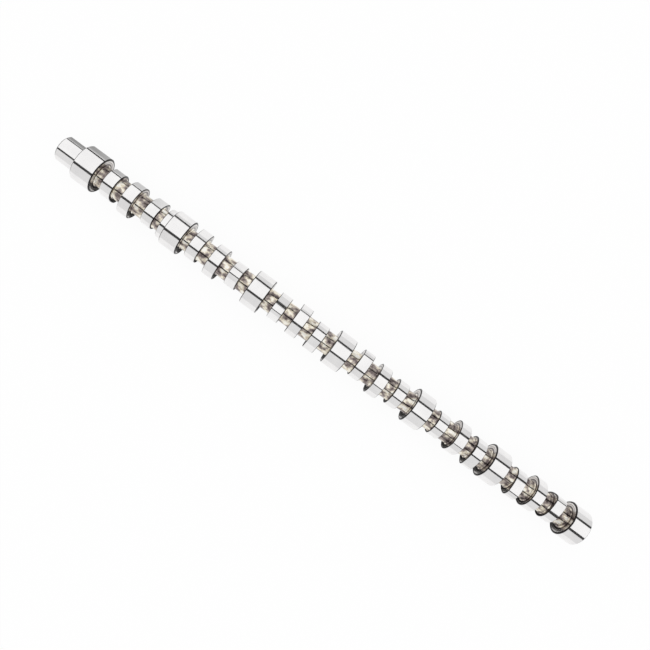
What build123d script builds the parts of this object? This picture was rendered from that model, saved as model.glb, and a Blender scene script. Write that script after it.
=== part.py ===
"""Camshaft of a heavy-duty in-line six-cylinder diesel engine, ground from one steel forging.

The shaft lies along X: the gear seat at the front points to -X and the rear journal ends at +X.
The origin is the centre of the front journal. Angles are measured from +Y towards +Z, and the
camshaft turns that way in the engine, so a lobe at a larger angle meets its follower earlier.
"""

import os
from math import atan2, cos, degrees, radians, sin

from build123d import *

# Bearings
journal_diameter = 63.5
front_journal_width = 36.0
inner_journal_width = 32.0
rear_journal_width = 34.0
journal_chamfer = 1.2

# Places along the shaft
cylinder_count = 6
cylinder_pitch = 165.5
first_cylinder_reach = 80.75  # front journal's centre to the first cylinder's centre
rear_journal_reach = 86.5  # last cylinder's centre to the rear journal's centre
second_journal_shift = 5.5  # off the middle between its cylinders, towards the rear
sixth_journal_shift = -4.0
valve_lobe_reach = 38.75  # cylinder's centre to each of its two valve lobes
lobe_width = 20.0
lobe_chamfer = 0.8

# Necks between the journals and lobes
neck_diameter = 37.0
neck_flare = 1.6  # where a neck meets a journal or the collar, and none beside a lobe

# Collar that stands in front of the second journal
collar_diameter = 53.5
collar_width = 10.5
collar_chamfer = 0.8

# Exhaust lobes
exhaust_base_diameter = 44.0
exhaust_lift = 9.2
exhaust_nose_radius = 14.0
exhaust_flank_angle = 78.0
exhaust_phase = -35.0

# Intake lobes
intake_base_diameter = 48.5
intake_lift = 6.5
intake_nose_radius = 11.5
intake_flank_angle = 60.0
intake_phase = -133.0

# Injector lobes: a fast stroke up to the nose, a drop to the dwell, and later the return to the base
injector_base_diameter = 55.2
injector_lift = 3.2
injector_nose_radius = 13.8
injector_stroke_angle = 67.0
injector_drop_angle = 48.0
injector_dwell_lift = 1.8
injector_dwell_length = 117.0
injector_shoulder_radius = 16.0
injector_return_angle = 53.0
injector_phase = 169.0

# Timing
firing_order = (1, 5, 3, 6, 2, 4)

# Gear seat on the nose
nose_diameter = 44.45
nose_length = 36.75
nose_chamfer = 1.5
key_width = 9.5
key_depth = 5.0
key_length = 24.0
key_end_gap = 4.0

# Holes in the two ends
bolt_core_diameter = 16.5
bolt_hole_depth = 45.0
bolt_mouth_diameter = 21.0
centre_pilot_diameter = 5.0
centre_pilot_depth = 14.0
centre_mouth_diameter = 13.0
drill_point_angle = 118.0
centre_angle = 60.0


def turned(outline):
    """A solid turned about the shaft's axis, from a closed outline of (along, radius) points."""
    return revolve(make_face(Polyline(*outline, close=True)), Axis.X)


def bar(start, end, diameter, start_slope, end_slope):
    """A round bar turned between two places, sloped by 45 degrees at each end.

    A slope above zero flares the end out, one below zero chamfers it, and zero leaves it plain.
    """
    radius = diameter / 2
    outline = [(start, 0), (start, radius + start_slope), (end, radius + end_slope), (end, 0)]
    if start_slope:
        outline.insert(2, (start + abs(start_slope), radius))
    if end_slope:
        outline.insert(-2, (end - abs(end_slope), radius))
    return turned(outline)


def rise(crown_angle, side, low_radius, lift, crown_radius, flank_angle):
    """One side of a cam's crown: half of the crown's arc, and the flank arc down to a low circle.

    The low circle is centred on the shaft. The flank is tangent to it at flank_angle from the
    crown, on the side given as 1 or -1, and is tangent to the crown's arc.
    """
    crown_reach = low_radius + lift - crown_radius
    radius_step = low_radius - crown_radius
    turn = radians(flank_angle)
    slack = radius_step - crown_reach * cos(turn)
    flank_reach = (crown_reach**2 - radius_step**2) / (2 * slack)
    flank_back = flank_reach * cos(turn)
    flank_side = flank_reach * sin(turn)
    crown_half = degrees(atan2(flank_side, crown_reach + flank_back))
    flank_arc = flank_angle - crown_half
    arcs = [
        CenterArc((crown_reach, 0), crown_radius, 0, side * crown_half),
        CenterArc(
            (-flank_back, -side * flank_side),
            low_radius + flank_reach,
            side * crown_half,
            side * flank_arc,
        ),
    ]
    return [Rot(0, 0, crown_angle) * arc for arc in arcs]


def valve_outline(base_diameter, lift, nose_radius, flank_angle):
    """A valve lobe's section with its nose at 0 degrees."""
    base_radius = base_diameter / 2
    base_arc = CenterArc((0, 0), base_radius, flank_angle, 360 - 2 * flank_angle)
    opening = rise(0, 1, base_radius, lift, nose_radius, flank_angle)
    closing = rise(0, -1, base_radius, lift, nose_radius, flank_angle)
    return make_face([*opening, *closing, base_arc])


def injector_outline():
    """An injector lobe's section with its nose at 0 degrees and its stroke flank above it."""
    base_radius = injector_base_diameter / 2
    dwell_radius = base_radius + injector_dwell_lift
    dwell_end = injector_dwell_length
    base_start = dwell_end + injector_return_angle
    stroke = rise(
        0, 1, base_radius, injector_lift, injector_nose_radius, injector_stroke_angle
    )
    drop = rise(
        0, -1, dwell_radius, injector_lift - injector_dwell_lift, injector_nose_radius,
        injector_drop_angle
    )
    dwell = CenterArc((0, 0), dwell_radius, -injector_drop_angle, injector_drop_angle - dwell_end)
    back = rise(
        -dwell_end, -1, base_radius, injector_dwell_lift, injector_shoulder_radius,
        injector_return_angle
    )
    base = CenterArc((0, 0), base_radius, injector_stroke_angle,
                     360 - injector_stroke_angle - base_start)
    return make_face([*stroke, *drop, dwell, *back, base])


def lobe(outline, place, phase):
    """A lobe centred at a place on the shaft, its nose turned to the phase angle."""
    blank = extrude(Plane.YZ * Rot(0, 0, phase) * outline, lobe_width)
    blank = chamfer(blank.edges().filter_by(GeomType.LINE, reverse=True), lobe_chamfer)
    return Pos(place - lobe_width / 2, 0, 0) * blank


def drilled(mouth_place, direction, mouth_diameter, mouth_angle, core_diameter, depth):
    """A hole along the axis: a conical mouth, a core and a drill point."""
    mouth = mouth_diameter / 2
    core = core_diameter / 2
    mouth_depth = (mouth - core) / sin(radians(mouth_angle / 2)) * cos(radians(mouth_angle / 2))
    point_depth = core / sin(radians(drill_point_angle / 2)) * cos(radians(drill_point_angle / 2))
    return turned([
        (mouth_place, 0),
        (mouth_place, mouth),
        (mouth_place + direction * mouth_depth, core),
        (mouth_place + direction * depth, core),
        (mouth_place + direction * (depth + point_depth), 0),
    ])


def keyway(seat_front):
    """The slot for the gear's key, cut down into the underside of the nose."""
    middle = seat_front + key_end_gap + key_length / 2
    floor = -(nose_diameter / 2 - key_depth)
    section = Plane((middle, 0, floor), x_dir=(1, 0, 0), z_dir=(0, 0, -1)) * SlotOverall(
        key_length, key_width
    )
    return extrude(section, nose_diameter / 2)


def journals():
    """Start, end and centre of each journal, from the front."""
    spans = [(-front_journal_width / 2, front_journal_width / 2)]
    shifts = {2: second_journal_shift, 6: sixth_journal_shift}
    for number in range(2, cylinder_count + 1):
        middle = first_cylinder_reach + (number - 1.5) * cylinder_pitch + shifts.get(number, 0)
        spans.append((middle - inner_journal_width / 2, middle + inner_journal_width / 2))
    rear = first_cylinder_reach + (cylinder_count - 1) * cylinder_pitch + rear_journal_reach
    spans.append((rear - rear_journal_width / 2, rear + rear_journal_width / 2))
    return spans


def lobes():
    """The place and the solid of each lobe, cylinder by cylinder.

    The front half of the engine has intake, injector and exhaust in that order, and the rear
    half is its mirror image.
    """
    exhaust = valve_outline(
        exhaust_base_diameter, exhaust_lift, exhaust_nose_radius, exhaust_flank_angle
    )
    intake = valve_outline(
        intake_base_diameter, intake_lift, intake_nose_radius, intake_flank_angle
    )
    injector = injector_outline()
    made = []
    for number in range(1, cylinder_count + 1):
        centre = first_cylinder_reach + (number - 1) * cylinder_pitch
        lag = 360 / cylinder_count * firing_order.index(number)
        side = 1 if number <= cylinder_count / 2 else -1
        exhaust_place = centre + side * valve_lobe_reach
        intake_place = centre - side * valve_lobe_reach
        made.append((intake_place, lobe(intake, intake_place, intake_phase - lag)))
        made.append((centre, lobe(injector, centre, injector_phase - lag)))
        made.append((exhaust_place, lobe(exhaust, exhaust_place, exhaust_phase - lag)))
    return made


def camshaft():
    """The whole camshaft as one solid."""
    spans = journals()
    seat_front = spans[0][0] - nose_length
    rear_face = spans[-1][1]
    pieces = [
        bar(start, end, journal_diameter, -journal_chamfer, -journal_chamfer)
        for start, end in spans
    ]
    pieces.append(bar(seat_front, spans[0][0], nose_diameter, -nose_chamfer, 0))
    collar_start = spans[1][0] - collar_width
    pieces.append(bar(collar_start, spans[1][0], collar_diameter, -collar_chamfer, 0))

    # Every gap between two neighbouring features is bridged by a neck, flared beside a journal.
    features = [(start, end, neck_flare) for start, end in spans]
    features.append((collar_start, spans[1][0], neck_flare))
    for place, solid in lobes():
        pieces.append(solid)
        features.append((place - lobe_width / 2, place + lobe_width / 2, 0))
    features.sort()
    for (_, gap_start, front_flare), (gap_end, _, rear_flare) in zip(features, features[1:]):
        if gap_end > gap_start:
            pieces.append(bar(gap_start, gap_end, neck_diameter, front_flare, rear_flare))

    shaft = pieces[0].fuse(*pieces[1:]).clean()
    shaft -= drilled(
        seat_front, 1, bolt_mouth_diameter, centre_angle, bolt_core_diameter, bolt_hole_depth
    )
    shaft -= drilled(
        rear_face, -1, centre_mouth_diameter, centre_angle, centre_pilot_diameter, centre_pilot_depth
    )
    shaft -= keyway(seat_front)
    return shaft


shaft = camshaft()
shaft.label = "camshaft"
os.makedirs("parts", exist_ok=True)
export_step(shaft, "parts/camshaft.step")
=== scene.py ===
"""Looks of the camshaft: ground journals, cam lobes and gear seat on a turned steel shaft.

Everything is in metres in the CAD part's own frame: X runs along the shaft towards its rear, the
origin is the centre of the front journal, and +Z points up to the camera. Sizes of the shaft are
written in millimetres, as in the part's source, and become metres when the mesh is made.
"""

import math

import bpy
from mathutils import Matrix, Vector


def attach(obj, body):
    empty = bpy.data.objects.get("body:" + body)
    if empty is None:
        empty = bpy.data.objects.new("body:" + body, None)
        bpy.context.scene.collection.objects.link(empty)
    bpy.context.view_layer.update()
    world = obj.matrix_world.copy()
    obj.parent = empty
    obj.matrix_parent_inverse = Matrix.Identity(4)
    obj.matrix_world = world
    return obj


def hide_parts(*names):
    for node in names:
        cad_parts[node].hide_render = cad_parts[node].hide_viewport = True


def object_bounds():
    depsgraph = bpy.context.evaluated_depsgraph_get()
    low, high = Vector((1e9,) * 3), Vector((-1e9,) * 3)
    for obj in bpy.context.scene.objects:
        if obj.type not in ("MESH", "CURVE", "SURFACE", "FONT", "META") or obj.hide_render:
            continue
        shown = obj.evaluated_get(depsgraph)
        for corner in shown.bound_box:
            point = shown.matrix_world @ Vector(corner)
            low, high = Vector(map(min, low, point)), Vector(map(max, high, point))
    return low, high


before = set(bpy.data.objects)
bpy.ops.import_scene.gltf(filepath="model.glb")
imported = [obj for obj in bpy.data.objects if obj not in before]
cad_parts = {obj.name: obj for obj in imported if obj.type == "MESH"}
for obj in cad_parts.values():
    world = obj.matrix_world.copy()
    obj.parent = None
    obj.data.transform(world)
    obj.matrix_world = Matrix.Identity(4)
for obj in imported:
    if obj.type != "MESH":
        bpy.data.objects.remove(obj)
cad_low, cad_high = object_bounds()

MM = 0.001
STEPS_AROUND = 180
FILLET_STEPS = 4
KEY_STEPS = 48  # round each of the keyway's two round ends
RIM = 0.4  # a narrow flat ring round a neck's fillet, which keeps the shading of the face flat
# The dark band along a face's edge is a painted dark reflection, not a property of the steel
PAINTED_DARK_EDGE_SHARE = 1.7  # width of the dark band along a face's edge, as a share of the chamfer
SHARP_ANGLE = 25  # an edge that turns by more degrees than this is shaded sharp

# Bearings
JOURNAL_RADIUS = 63.5 / 2
FRONT_JOURNAL_WIDTH = 36.0
INNER_JOURNAL_WIDTH = 32.0
REAR_JOURNAL_WIDTH = 34.0
JOURNAL_CHAMFER = 1.2

# Places along the shaft
CYLINDER_COUNT = 6
CYLINDER_PITCH = 165.5
FIRST_CYLINDER_REACH = 80.75
REAR_JOURNAL_REACH = 86.5
JOURNAL_SHIFTS = {2: 5.5, 6: -4.0}
VALVE_LOBE_REACH = 38.75
LOBE_WIDTH = 20.0
LOBE_CHAMFER = 0.8
FIRING_ORDER = (1, 5, 3, 6, 2, 4)

# Necks and the collar in front of the second journal
NECK_RADIUS = 37.0 / 2
NECK_FILLET = 1.6
COLLAR_RADIUS = 53.5 / 2
COLLAR_WIDTH = 10.5
COLLAR_CHAMFER = 0.8

# Valve lobes: base radius, lift, nose radius, flank angle
EXHAUST = (22.0, 9.2, 14.0, 78.0)
EXHAUST_PHASE = -35.0
INTAKE = (24.25, 6.5, 11.5, 60.0)
INTAKE_PHASE = -133.0

# Injector lobes
INJECTOR_BASE_RADIUS = 27.6
INJECTOR_LIFT = 3.2
INJECTOR_NOSE_RADIUS = 13.8
INJECTOR_STROKE_ANGLE = 67.0
INJECTOR_DROP_ANGLE = 48.0
INJECTOR_DWELL_LIFT = 1.8
INJECTOR_DWELL_LENGTH = 117.0
INJECTOR_SHOULDER_RADIUS = 16.0
INJECTOR_RETURN_ANGLE = 53.0
INJECTOR_PHASE = 169.0

# Gear seat and the holes in the two ends
NOSE_RADIUS = 44.45 / 2
NOSE_LENGTH = 36.75
NOSE_CHAMFER = 1.5
KEY_WIDTH = 9.5
KEY_DEPTH = 5.0
KEY_LENGTH = 24.0
KEY_END_GAP = 4.0
BOLT_MOUTH_RADIUS = 10.5
BOLT_CORE_RADIUS = 8.25
BOLT_DEPTH = 45.0
THREAD_PITCH = 1.5
THREAD_DEPTH = 0.75
THREAD_TURNS = 14
THREAD_STEPS = 6  # rings for each turn of the thread
CENTRE_MOUTH_RADIUS = 6.5
CENTRE_PILOT_RADIUS = 2.5
CENTRE_DEPTH = 14.0
MOUTH_SLOPE = 1 / math.tan(math.radians(60 / 2))  # of a 60 degree countersink
POINT_SLOPE = 1 / math.tan(math.radians(118 / 2))  # of a 118 degree drill

# Kinds of surface on the shaft, in the order of its material slots
# The last kind, for the chamfers and a band along each face's rim, is near-black steel: a painted
# dark reflection of the surroundings those edges mirror
GROUND, FACED, TURNED, PAINTED_DARK_EDGE = range(4)

# Colours of each kind of steel, over the places of a slow noise
GROUND_COLOURS = ((0.35, (0.83, 0.82, 0.82)), (0.65, (0.88, 0.87, 0.865)))
FACED_COLOURS = (
    (0.38, (0.09, 0.08, 0.08)),
    (0.46, (0.30, 0.27, 0.25)),
    (0.53, (0.55, 0.52, 0.50)),
    (0.61, (0.84, 0.82, 0.80)),
)
# Painted dark reflection: near-black colours for the chamfers and face rims, in place of the dark
# surroundings they mirror
PAINTED_DARK_EDGE_COLOURS = ((0.35, (0.02, 0.02, 0.02)), (0.65, (0.05, 0.045, 0.045)))
TURNED_COLOURS = (
    (0.30, (0.05, 0.04, 0.04)),
    (0.42, (0.23, 0.19, 0.18)),
    (0.49, (0.44, 0.39, 0.36)),
    (0.54, (0.71, 0.63, 0.49)),
    (0.59, (0.88, 0.84, 0.74)),
    (0.68, (0.92, 0.90, 0.86)),
)

# How fine the changes of colour and the tool marks are, and how they are stretched along the shaft
EVEN_SCALE = 45
PATCH_SCALE = 110
PATCH_STRETCH = 0.8
RING_COLOUR_SCALE = 160
RING_MARK_SCALE = 700
MARK_SCALE = 40
GROUND_STRETCH = 60
TURNED_STRETCH = 25
MARK_PLACES = (0.3, 0.7)  # where in the marks' noise the roughness is lowest and highest
MARK_HEIGHT = 0.00002
MARK_TURN = 0.25  # of a full turn, from the marks to the way that reflections spread
EVEN_DETAIL = 3
PATCH_DETAIL = 4
RING_DETAIL = 3
GROUND_DETAIL = 6
TURNED_DETAIL = 4

# Finish of each steel: roughness at the two mark places, spread of reflections, depth of the marks
GROUND_FINISH = ((0.07, 0.15), 0.8, 0.25)
FACED_FINISH = ((0.15, 0.25), 0.6, 0.5)
TURNED_FINISH = ((0.15, 0.24), 0.95, 0.3)
# Finish of the painted dark reflection on the chamfers and face rims
PAINTED_DARK_EDGE_FINISH = ((0.25, 0.40), 0.6, 0.5)

# Camera
SENSOR_WIDTH = 36
CLIP_NEAR = 0.01
CLIP_FAR = 50
CAMERA_PLACE = Vector((0.3886, 0.0, 0.9281))
CAMERA_AIM = Vector((0.4501, 0.0215, 0.0))
CAMERA_LENS = 31.015
SHAFT_SLOPE = 36.55  # how far the shaft runs down to the right in the picture, in degrees

# Floor
FLOOR_SIZE = 12
FLOOR_MIDDLE = 0.5  # along the shaft
FLOOR_GREY = 0.93
BACKGROUND_SHARE = 0.93  # how far the floor looks plain white, straight on and in reflections

# Upright cards beyond the ends of the shaft: x, half width, height
FRONT_END = (-2.0, 1.7, 2.2)
REAR_END = (3.0, 1.7, 1.7)
END_BRIGHTNESS = 0.30

# Darker cards just over the floor, painted shade that the steel mirrors: the points round each
# card, and the brightness at each point
FLAG_LIFT = 0.001
# Painted shade on the floor beside the front of the shaft, on the +Y side: darker near the shaft,
# fading to the floor's white further out, seen only in the steel
FLOOR_PAINTED_SHADE = ((-1.0, 0.04), (-0.05, 0.04), (0.15, 0.04), (-0.10, 0.8), (-0.35, 0.8), (-1.0, 0.8))
FLOOR_PAINTED_SHADE_FACES = ((0, 1, 4, 5), (1, 2, 3, 4))
FLOOR_PAINTED_SHADE_LEVELS = (0.30, 0.30, 0.93, 0.93, 0.93, 0.93)
# Painted shadow under the shaft: a dark card where the shaft's own shade falls, seen only in the
# steel's reflections
PAINTED_SHADOW_UNDER_SHAFT = ((0.02, -0.028), (1.0, -0.028), (1.0, 0.008), (0.02, 0.008))
PAINTED_SHADOW_UNDER_SHAFT_FACES = ((0, 1, 2, 3),)
PAINTED_SHADOW_UNDER_SHAFT_LEVELS = (0.08, 0.08, 0.08, 0.08)

# The lining of soft white panels round the shaft, with two dark gaps whose edges run straight from
# station to station. Angles are off the vertical and go towards +Y.
LINING_REACH = 0.7
LINING_SPAN = 92
BAND_STEPS = 6
LOW_PANEL = 0.83
TOP_PANEL = 1.05
BACK_PANEL = 0.80
GAP = 0.05
LINING = (
    # x, lower gap from, to, upper gap from, to
    (-1.6, -36, -22, 81, 91),
    (-0.3, -36, -22, 81, 91),
    (0.0, -35, -20, 64, 76),
    (0.6, -33, -22, 41, 54),
    (1.1, -36, -26, 39, 52),
    (2.4, -58, -26, 48, 64),
)


# ---------------------------------------------------------------- sections of the shaft

def angle_at(step):
    """The angle of a step round the shaft, in radians."""
    return 2 * math.pi * step / STEPS_AROUND


def round_section(radius):
    """Points and outward normals round a circle."""
    normals = [(math.cos(angle_at(step)), math.sin(angle_at(step))) for step in range(STEPS_AROUND)]
    return [((radius * y, radius * z), (y, z)) for y, z in normals]


def crown_point(turn, crown_turn, low_radius, lift, crown_radius, flank_angle):
    """The point of a cam's nose, flank or low circle whose normal is at an angle."""
    away = math.remainder(turn - crown_turn, 2 * math.pi)
    crown_reach = low_radius + lift - crown_radius
    radius_step = low_radius - crown_radius
    flank_turn = math.radians(flank_angle)
    slack = radius_step - crown_reach * math.cos(flank_turn)
    flank_reach = (crown_reach**2 - radius_step**2) / (2 * slack)
    flank_back = flank_reach * math.cos(flank_turn)
    flank_side = flank_reach * math.sin(flank_turn)
    centre, radius = (0, 0), low_radius
    if abs(away) <= math.atan2(flank_side, crown_reach + flank_back):
        centre, radius = (crown_reach, 0), crown_radius
    elif abs(away) <= flank_turn:
        centre = (-flank_back, -math.copysign(flank_side, away))
        radius = low_radius + flank_reach
    centre = Matrix.Rotation(crown_turn, 2) @ Vector(centre)
    return centre.x + radius * math.cos(turn), centre.y + radius * math.sin(turn)


def valve_point(turn, phase, lobe):
    """The point of a valve lobe whose normal is at an angle."""
    return crown_point(turn, math.radians(phase), *lobe)


def injector_point(turn, phase, _):
    """The point of an injector lobe whose normal is at an angle."""
    nose_turn = math.radians(phase)
    away = math.degrees(math.remainder(turn - nose_turn, 2 * math.pi))
    if away >= 0:
        return crown_point(turn, nose_turn, INJECTOR_BASE_RADIUS, INJECTOR_LIFT,
                           INJECTOR_NOSE_RADIUS, INJECTOR_STROKE_ANGLE)
    if away >= -INJECTOR_DWELL_LENGTH:
        return crown_point(turn, nose_turn, INJECTOR_BASE_RADIUS + INJECTOR_DWELL_LIFT,
                           INJECTOR_LIFT - INJECTOR_DWELL_LIFT, INJECTOR_NOSE_RADIUS,
                           INJECTOR_DROP_ANGLE)
    return crown_point(turn, math.radians(phase - INJECTOR_DWELL_LENGTH), INJECTOR_BASE_RADIUS,
                       INJECTOR_DWELL_LIFT, INJECTOR_SHOULDER_RADIUS, INJECTOR_RETURN_ANGLE)


def lobe_section(point_at, phase, lobe=None):
    """Points and outward normals round a lobe."""
    section = []
    for step in range(STEPS_AROUND):
        turn = angle_at(step)
        section.append((point_at(turn, phase, lobe), (math.cos(turn), math.sin(turn))))
    return section


# ---------------------------------------------------------------- rings along the shaft

def block_rings(start, end, section, front_chamfer, rear_chamfer):
    """Rings of a chamfered disc or drum: (place, section, inset, kind of the band before it)."""
    # The chamfers and a band along each face's rim take the near-black steel, a painted dark
    # reflection
    rings = [
        (start, section, front_chamfer * (1 + PAINTED_DARK_EDGE_SHARE), FACED),
        (start, section, front_chamfer, PAINTED_DARK_EDGE),
        (start + front_chamfer, section, 0, PAINTED_DARK_EDGE),
        (end - rear_chamfer, section, 0, GROUND),
    ]
    if rear_chamfer:
        rings.append((end, section, rear_chamfer, PAINTED_DARK_EDGE))
        rings.append((end, section, rear_chamfer * (1 + PAINTED_DARK_EDGE_SHARE), PAINTED_DARK_EDGE))
    return rings


def neck_rings(start, end):
    """Rings of a neck with a fillet into the face at each of its two ends."""
    foot = NECK_RADIUS + NECK_FILLET
    rings = [(start, round_section(foot + RIM), 0, FACED)]
    for step in range(FILLET_STEPS + 1):
        turn = math.pi / 2 * step / FILLET_STEPS
        radius = foot - NECK_FILLET * math.sin(turn)
        rings.append((start + NECK_FILLET * (1 - math.cos(turn)), round_section(radius), 0, TURNED))
    for step in range(FILLET_STEPS + 1):
        turn = math.pi / 2 * (1 - step / FILLET_STEPS)
        radius = foot - NECK_FILLET * math.sin(turn)
        rings.append((end - NECK_FILLET * (1 - math.cos(turn)), round_section(radius), 0, TURNED))
    rings.append((end, round_section(foot + RIM), 0, FACED))
    return rings


def hole_rings(mouth_place, direction, mouth_radius, core_radius, depth):
    """Rings from the bottom of an axial hole out to its mouth."""
    mouth_depth = (mouth_radius - core_radius) * MOUTH_SLOPE
    point_depth = core_radius * POINT_SLOPE
    return [
        (mouth_place + direction * (depth + point_depth), round_section(0), 0, TURNED),
        (mouth_place + direction * depth, round_section(core_radius), 0, TURNED),
        (mouth_place + direction * mouth_depth, round_section(core_radius), 0, TURNED),
        (mouth_place, round_section(mouth_radius), 0, FACED),
    ]


def thread_rings(mouth_place):
    """Rings of the bolt hole's thread, from its deep end out to the hole's mouth."""
    count = THREAD_TURNS * THREAD_STEPS
    out = mouth_place + (BOLT_MOUTH_RADIUS - BOLT_CORE_RADIUS) * MOUTH_SLOPE
    rings = []
    for step in range(count, -1, -1):
        turns = step / THREAD_STEPS
        run_out = min(1, turns, THREAD_TURNS - turns)
        section = []
        for around in range(STEPS_AROUND):
            wave = 0.5 - 0.5 * math.cos(2 * math.pi * turns - angle_at(around))
            radius = BOLT_CORE_RADIUS + THREAD_DEPTH * run_out * wave
            y, z = math.cos(angle_at(around)), math.sin(angle_at(around))
            section.append(((radius * y, radius * z), (y, z)))
        rings.append((out + turns * THREAD_PITCH, section, 0, TURNED))
    return rings


def journal_spans():
    """Start and end of each journal, from the front."""
    spans = [(-FRONT_JOURNAL_WIDTH / 2, FRONT_JOURNAL_WIDTH / 2)]
    for number in range(2, CYLINDER_COUNT + 1):
        middle = FIRST_CYLINDER_REACH + (number - 1.5) * CYLINDER_PITCH
        middle += JOURNAL_SHIFTS.get(number, 0)
        spans.append((middle - INNER_JOURNAL_WIDTH / 2, middle + INNER_JOURNAL_WIDTH / 2))
    rear = FIRST_CYLINDER_REACH + (CYLINDER_COUNT - 1) * CYLINDER_PITCH + REAR_JOURNAL_REACH
    spans.append((rear - REAR_JOURNAL_WIDTH / 2, rear + REAR_JOURNAL_WIDTH / 2))
    return spans


def blocks():
    """Start, end, section and two chamfers of each drum and lobe, from the front."""
    drum = round_section(JOURNAL_RADIUS)
    made = [(start, end, drum, JOURNAL_CHAMFER, JOURNAL_CHAMFER) for start, end in journal_spans()]
    front = made[0][0]
    second = made[1][0]
    made.append((front - NOSE_LENGTH, front, round_section(NOSE_RADIUS), NOSE_CHAMFER, 0))
    collar = round_section(COLLAR_RADIUS)
    made.append((second - COLLAR_WIDTH, second, collar, COLLAR_CHAMFER, 0))
    for number in range(1, CYLINDER_COUNT + 1):
        centre = FIRST_CYLINDER_REACH + (number - 1) * CYLINDER_PITCH
        lag = 360 / CYLINDER_COUNT * FIRING_ORDER.index(number)
        side = 1 if number <= CYLINDER_COUNT / 2 else -1
        reach = side * VALVE_LOBE_REACH
        placed = (
            (centre + reach, lobe_section(valve_point, EXHAUST_PHASE - lag, EXHAUST)),
            (centre - reach, lobe_section(valve_point, INTAKE_PHASE - lag, INTAKE)),
            (centre, lobe_section(injector_point, INJECTOR_PHASE - lag)),
        )
        for place, section in placed:
            ends = (place - LOBE_WIDTH / 2, place + LOBE_WIDTH / 2)
            made.append((*ends, section, LOBE_CHAMFER, LOBE_CHAMFER))
    return sorted(made, key=lambda block: block[0])


def shaft_rings():
    """All rings of the shaft, from the bottom of the bolt hole to the bottom of the rear centre."""
    made = blocks()
    front = made[0][0]
    rear = made[-1][1]
    rings = hole_rings(front, 1, BOLT_MOUTH_RADIUS, BOLT_CORE_RADIUS, BOLT_DEPTH)
    rings[2:3] = thread_rings(front)
    for block, following in zip(made, made[1:] + [None]):
        rings += block_rings(*block)
        if following and following[0] > block[1]:
            rings += neck_rings(block[1], following[0])
    rings += reversed(hole_rings(rear, -1, CENTRE_MOUTH_RADIUS, CENTRE_PILOT_RADIUS, CENTRE_DEPTH))
    return rings


def shaft_mesh():
    """The closed mesh of the shaft, before its keyway is cut."""
    vertices, faces, kinds = [], [], []
    rings = shaft_rings()
    for place, section, inset, _ in rings[1:-1]:
        for (y, z), (out_y, out_z) in section:
            point = (place, y - inset * out_y, z - inset * out_z)
            vertices.append(tuple(MM * value for value in point))
    for band, (_, _, _, kind) in enumerate(rings[2:-1]):
        low = band * STEPS_AROUND
        high = low + STEPS_AROUND
        for step in range(STEPS_AROUND):
            turn = (step + 1) % STEPS_AROUND
            faces.append((low + step, high + step, high + turn, low + turn))
            kinds.append(kind)
    last = len(vertices) - STEPS_AROUND
    vertices.append((rings[0][0] * MM, 0, 0))
    vertices.append((rings[-1][0] * MM, 0, 0))
    for step in range(STEPS_AROUND):
        turn = (step + 1) % STEPS_AROUND
        faces.append((len(vertices) - 2, step, turn))
        faces.append((len(vertices) - 1, last + turn, last + step))
        kinds += [TURNED, TURNED]
    mesh = bpy.data.meshes.new("camshaft_body")
    mesh.from_pydata(vertices, [], faces)
    mesh.polygons.foreach_set("material_index", kinds)
    return mesh


def add_object(name, mesh):
    """A new object with this mesh, linked to the scene."""
    made = bpy.data.objects.new(name, mesh)
    bpy.context.scene.collection.objects.link(made)
    return made


def key_cutter():
    """The solid that the keyway takes out of the underside of the nose: a slot with round ends."""
    front = -FRONT_JOURNAL_WIDTH / 2 - NOSE_LENGTH + KEY_END_GAP
    half = KEY_WIDTH / 2
    outline = []
    for middle, first in ((front + half, math.pi / 2), (front + KEY_LENGTH - half, -math.pi / 2)):
        for step in range(KEY_STEPS + 1):
            turn = first + math.pi * step / KEY_STEPS
            outline.append((middle + half * math.cos(turn), half * math.sin(turn)))
    count = len(outline)
    top = -(NOSE_RADIUS - KEY_DEPTH)
    vertices = [(x * MM, y * MM, z * MM) for z in (top - 2 * KEY_DEPTH, top) for x, y in outline]
    faces = [tuple(reversed(range(count))), tuple(range(count, 2 * count))]
    for step in range(count):
        turn = (step + 1) % count
        faces.append((step, turn, count + turn, count + step))
    mesh = bpy.data.meshes.new("key_cutter")
    mesh.from_pydata(vertices, [], faces)
    return add_object("key_cutter", mesh)


# ---------------------------------------------------------------- materials

def shader_tree(name):
    """A new node material, its node tree and its Principled shader."""
    material = bpy.data.materials.new(name)
    material.use_nodes = True
    return material, material.node_tree, material.node_tree.nodes["Principled BSDF"]


def noise(tree, scale, stretch, detail):
    """Noise over the object's own coordinates, stretched by a factor on each axis."""
    place = tree.nodes.new("ShaderNodeTexCoord")
    mapping = tree.nodes.new("ShaderNodeMapping")
    mapping.inputs["Scale"].default_value = stretch
    tree.links.new(place.outputs["Object"], mapping.inputs["Vector"])
    made = tree.nodes.new("ShaderNodeTexNoise")
    made.inputs["Scale"].default_value = scale
    made.inputs["Detail"].default_value = detail
    tree.links.new(mapping.outputs["Vector"], made.inputs["Vector"])
    return made.outputs["Fac"]


def ramp(tree, value, stops):
    """A colour ramp through the given (place, colour) stops."""
    made = tree.nodes.new("ShaderNodeValToRGB")
    for index, (place, colour) in enumerate(stops):
        if index < 2:
            stop = made.color_ramp.elements[index]
            stop.position = place
        else:
            stop = made.color_ramp.elements.new(place)
        stop.color = (*colour, 1)
    tree.links.new(value, made.inputs["Fac"])
    return made.outputs["Color"]


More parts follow.
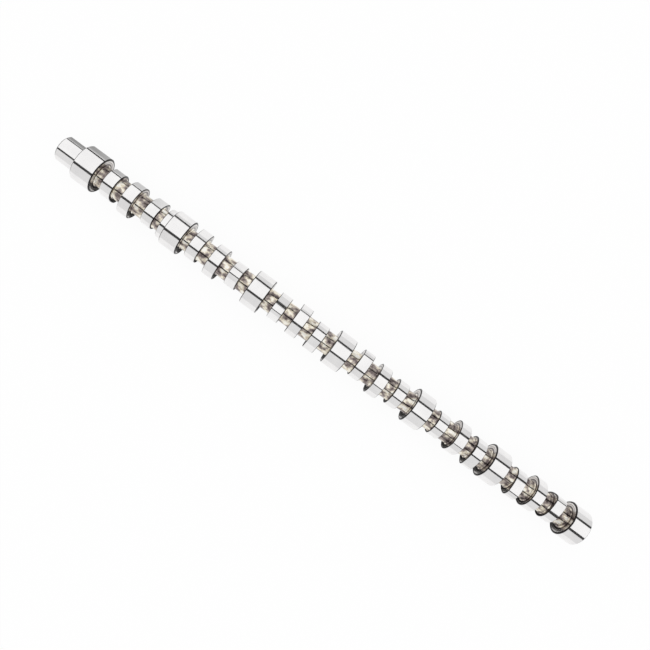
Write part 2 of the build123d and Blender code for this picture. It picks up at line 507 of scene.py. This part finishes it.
def steel(name, colours, drift, marks, roughness, spread, marks_depth):
    """Bare steel: a colour that drifts, and tool marks that run round the shaft.

    The marks vary the roughness and the height, and spread reflections across themselves.
    """
    material, tree, shader = shader_tree(name)
    shader.inputs["Metallic"].default_value = 1
    shader.inputs["Anisotropic"].default_value = spread
    shader.inputs["Anisotropic Rotation"].default_value = MARK_TURN
    round_shaft = tree.nodes.new("ShaderNodeTangent")
    round_shaft.direction_type = "RADIAL"
    round_shaft.axis = "X"
    tree.links.new(round_shaft.outputs["Tangent"], shader.inputs["Tangent"])
    tree.links.new(ramp(tree, drift(tree), colours), shader.inputs["Base Color"])
    grain = marks(tree)
    greys = [(place, (value,) * 3) for place, value in zip(MARK_PLACES, roughness)]
    tree.links.new(ramp(tree, grain, greys), shader.inputs["Roughness"])
    bump = tree.nodes.new("ShaderNodeBump")
    bump.inputs["Strength"].default_value = marks_depth
    bump.inputs["Distance"].default_value = MARK_HEIGHT
    tree.links.new(grain, bump.inputs["Height"])
    tree.links.new(bump.outputs["Normal"], shader.inputs["Normal"])
    return material


def even_drift(tree):
    """A slow change of colour over the surface."""
    return noise(tree, EVEN_SCALE, (1, 1, 1), EVEN_DETAIL)


def patchy_drift(tree):
    """A quick, patchy change of colour over the surface."""
    return noise(tree, PATCH_SCALE, (PATCH_STRETCH, 1, 1), PATCH_DETAIL)


def ring_drift(tree):
    """A change of colour from ring to ring of a faced side."""
    return ring_noise(tree, RING_COLOUR_SCALE)


def ground_marks(tree):
    """Fine grinding marks that run round the shaft."""
    return noise(tree, MARK_SCALE, (GROUND_STRETCH, 1, 1), GROUND_DETAIL)


def turned_marks(tree):
    """Coarser turning marks that run round the shaft."""
    return noise(tree, MARK_SCALE, (TURNED_STRETCH, 1, 1), TURNED_DETAIL)


def faced_marks(tree):
    """Concentric marks of a facing cut."""
    return ring_noise(tree, RING_MARK_SCALE)


def ring_noise(tree, scale):
    """Noise over the distance from the shaft's axis."""
    place = tree.nodes.new("ShaderNodeTexCoord")
    across = tree.nodes.new("ShaderNodeVectorMath")
    across.operation = "MULTIPLY"
    across.inputs[1].default_value = (0, 1, 1)
    tree.links.new(place.outputs["Object"], across.inputs[0])
    reach = tree.nodes.new("ShaderNodeVectorMath")
    reach.operation = "LENGTH"
    tree.links.new(across.outputs["Vector"], reach.inputs[0])
    made = tree.nodes.new("ShaderNodeTexNoise")
    made.noise_dimensions = "1D"
    made.inputs["Scale"].default_value = scale
    made.inputs["Detail"].default_value = RING_DETAIL
    tree.links.new(reach.outputs["Value"], made.inputs["W"])
    return made.outputs["Fac"]


# ---------------------------------------------------------------- the shaft

def make_shaft():
    """The camshaft's visible piece."""
    shaft = add_object("camshaft_surface", shaft_mesh())
    for material in (
        steel("ground_steel", GROUND_COLOURS, even_drift, ground_marks, *GROUND_FINISH),
        steel("faced_steel", FACED_COLOURS, ring_drift, faced_marks, *FACED_FINISH),
        steel("turned_steel", TURNED_COLOURS, patchy_drift, turned_marks, *TURNED_FINISH),
        # Near-black steel of the chamfers and face rims: painted dark reflection
        steel("painted_dark_edge_steel", PAINTED_DARK_EDGE_COLOURS, ring_drift, faced_marks, *PAINTED_DARK_EDGE_FINISH),
    ):
        shaft.data.materials.append(material)
    cutter = key_cutter()
    cut = shaft.modifiers.new("keyway", "BOOLEAN")
    cut.object = cutter
    cut.operation = "DIFFERENCE"
    cut.solver = "EXACT"
    bpy.context.view_layer.update()
    evaluated = shaft.evaluated_get(bpy.context.evaluated_depsgraph_get())
    finished = bpy.data.meshes.new_from_object(evaluated)
    shaft.modifiers.clear()
    shaft.data = finished
    bpy.data.objects.remove(cutter)
    finished.shade_smooth()
    finished.set_sharp_from_angle(angle=math.radians(SHARP_ANGLE))
    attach(shaft, "root")
    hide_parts("camshaft")


# ---------------------------------------------------------------- studio

def emitter(name):
    """A material that gives off grey light, as bright as the mesh's own brightness values."""
    material, tree, _ = shader_tree(name)
    tree.nodes.clear()
    level = tree.nodes.new("ShaderNodeAttribute")
    level.attribute_name = "brightness"
    glow = tree.nodes.new("ShaderNodeEmission")
    tree.links.new(level.outputs["Fac"], glow.inputs["Strength"])
    output = tree.nodes.new("ShaderNodeOutputMaterial")
    tree.links.new(glow.outputs["Emission"], output.inputs["Surface"])
    return material


def card(name, vertices, faces, brightness):
    """A studio card that shows only in reflections, and throws no light and no shadow."""
    mesh = bpy.data.meshes.new(name)
    mesh.from_pydata(vertices, [], faces)
    levels = mesh.attributes.new("brightness", "FLOAT", "POINT")
    levels.data.foreach_set("value", brightness)
    made = add_object(name, mesh)
    made.data.materials.append(emitter(name))
    made.visible_camera = False
    made.visible_diffuse = False
    made.visible_shadow = False
    made.visible_transmission = False


def lining():
    """The panels and gaps round the shaft: one card bent through the stations of LINING."""
    vertices, levels = [], []
    for x, low_far, low_near, high_near, high_far in LINING:
        bands = (
            (-LINING_SPAN, low_far, LOW_PANEL),
            (low_far, low_near, GAP),
            (low_near, high_near, TOP_PANEL),
            (high_near, high_far, GAP),
            (high_far, LINING_SPAN, BACK_PANEL),
        )
        for first, last, level in bands:
            for step in range(BAND_STEPS + 1):
                turn = math.radians(first + (last - first) * step / BAND_STEPS)
                vertices.append((x, LINING_REACH * math.sin(turn), LINING_REACH * math.cos(turn)))
                levels.append(level)
    row = len(vertices) // len(LINING)
    faces = [
        (low, low + 1, low + row + 1, low + row)
        for station in range(len(LINING) - 1)
        for low in range(station * row, station * row + row - 1)
    ]
    card("lining", vertices, faces, levels)


def floor_shade_card(name, outline, faces, levels):
    """A darker card that lies just over the floor: painted shade that the steel mirrors."""
    card(name, [(x, y, cad_low.z + FLAG_LIFT) for x, y in outline], faces, levels)


def end_card(name, x, half_width, height):
    """An upright dark card beyond one end of the shaft."""
    low = cad_low.z
    corners = [(x, y, z) for y, z in (
        (-half_width, low), (half_width, low), (half_width, height), (-half_width, height)
    )]
    card(name, corners, [(0, 1, 2, 3)], [END_BRIGHTNESS] * 4)


def make_floor():
    """A white floor that looks nearly white, in the steel too, and keeps the shaft's shadow."""
    bpy.ops.mesh.primitive_plane_add(size=FLOOR_SIZE, location=(FLOOR_MIDDLE, 0, cad_low.z))
    floor = bpy.context.object
    floor.name = "floor"
    material, tree, shader = shader_tree("floor_white")
    shader.inputs["Base Color"].default_value = (FLOOR_GREY, FLOOR_GREY, FLOOR_GREY, 1)
    shader.inputs["Roughness"].default_value = 1
    shader.inputs["Specular IOR Level"].default_value = 0
    ray = tree.nodes.new("ShaderNodeLightPath")
    shown = ray.outputs["Is Camera Ray"]
    for kind in ("Is Glossy Ray", "Is Transmission Ray"):
        either = tree.nodes.new("ShaderNodeMath")
        either.operation = "MAXIMUM"
        tree.links.new(shown, either.inputs[0])
        tree.links.new(ray.outputs[kind], either.inputs[1])
        shown = either.outputs["Value"]
    share = tree.nodes.new("ShaderNodeMath")
    share.operation = "MULTIPLY"
    share.inputs[1].default_value = BACKGROUND_SHARE
    tree.links.new(shown, share.inputs[0])
    white = tree.nodes.new("ShaderNodeEmission")
    mixed = tree.nodes.new("ShaderNodeMixShader")
    tree.links.new(share.outputs["Value"], mixed.inputs["Fac"])
    tree.links.new(shader.outputs["BSDF"], mixed.inputs[1])
    tree.links.new(white.outputs["Emission"], mixed.inputs[2])
    tree.links.new(mixed.outputs["Shader"], tree.nodes["Material Output"].inputs["Surface"])
    floor.data.materials.append(material)


def make_studio():
    """Floor, white surroundings, and the darker cards that the steel mirrors, two of them painted
    shade on the floor.
    """
    make_floor()
    world = bpy.data.worlds.new("studio")
    bpy.context.scene.world = world
    world.use_nodes = True
    world.node_tree.nodes["Background"].inputs["Color"].default_value = (1, 1, 1, 1)
    world.node_tree.nodes["Background"].inputs["Strength"].default_value = 1

    lining()
    # painted shade on the floor beside the front of the shaft
    floor_shade_card("floor_painted_shade", FLOOR_PAINTED_SHADE, FLOOR_PAINTED_SHADE_FACES, FLOOR_PAINTED_SHADE_LEVELS)
    # painted shadow under the shaft
    floor_shade_card("painted_shadow_under_shaft", PAINTED_SHADOW_UNDER_SHAFT, PAINTED_SHADOW_UNDER_SHAFT_FACES, PAINTED_SHADOW_UNDER_SHAFT_LEVELS)
    end_card("front_end", *FRONT_END)
    end_card("rear_end", *REAR_END)


def make_camera():
    """The camera at the viewing angle, with the shaft running down to the right."""
    data = bpy.data.cameras.new("camera")
    data.lens = CAMERA_LENS
    data.sensor_width = SENSOR_WIDTH
    data.clip_start = CLIP_NEAR
    data.clip_end = CLIP_FAR
    camera = add_object("camera", data)
    forward = (CAMERA_AIM - CAMERA_PLACE).normalized()
    slope = math.radians(SHAFT_SLOPE)
    right = forward.cross(Vector((-math.sin(slope), math.cos(slope), 0))).normalized()
    up = right.cross(forward)
    turn = Matrix((right, up, -forward)).transposed().to_4x4()
    camera.matrix_world = Matrix.Translation(CAMERA_PLACE) @ turn
    bpy.context.scene.camera = camera


make_shaft()
make_studio()
make_camera()
bpy.context.scene.view_settings.view_transform = "Standard"
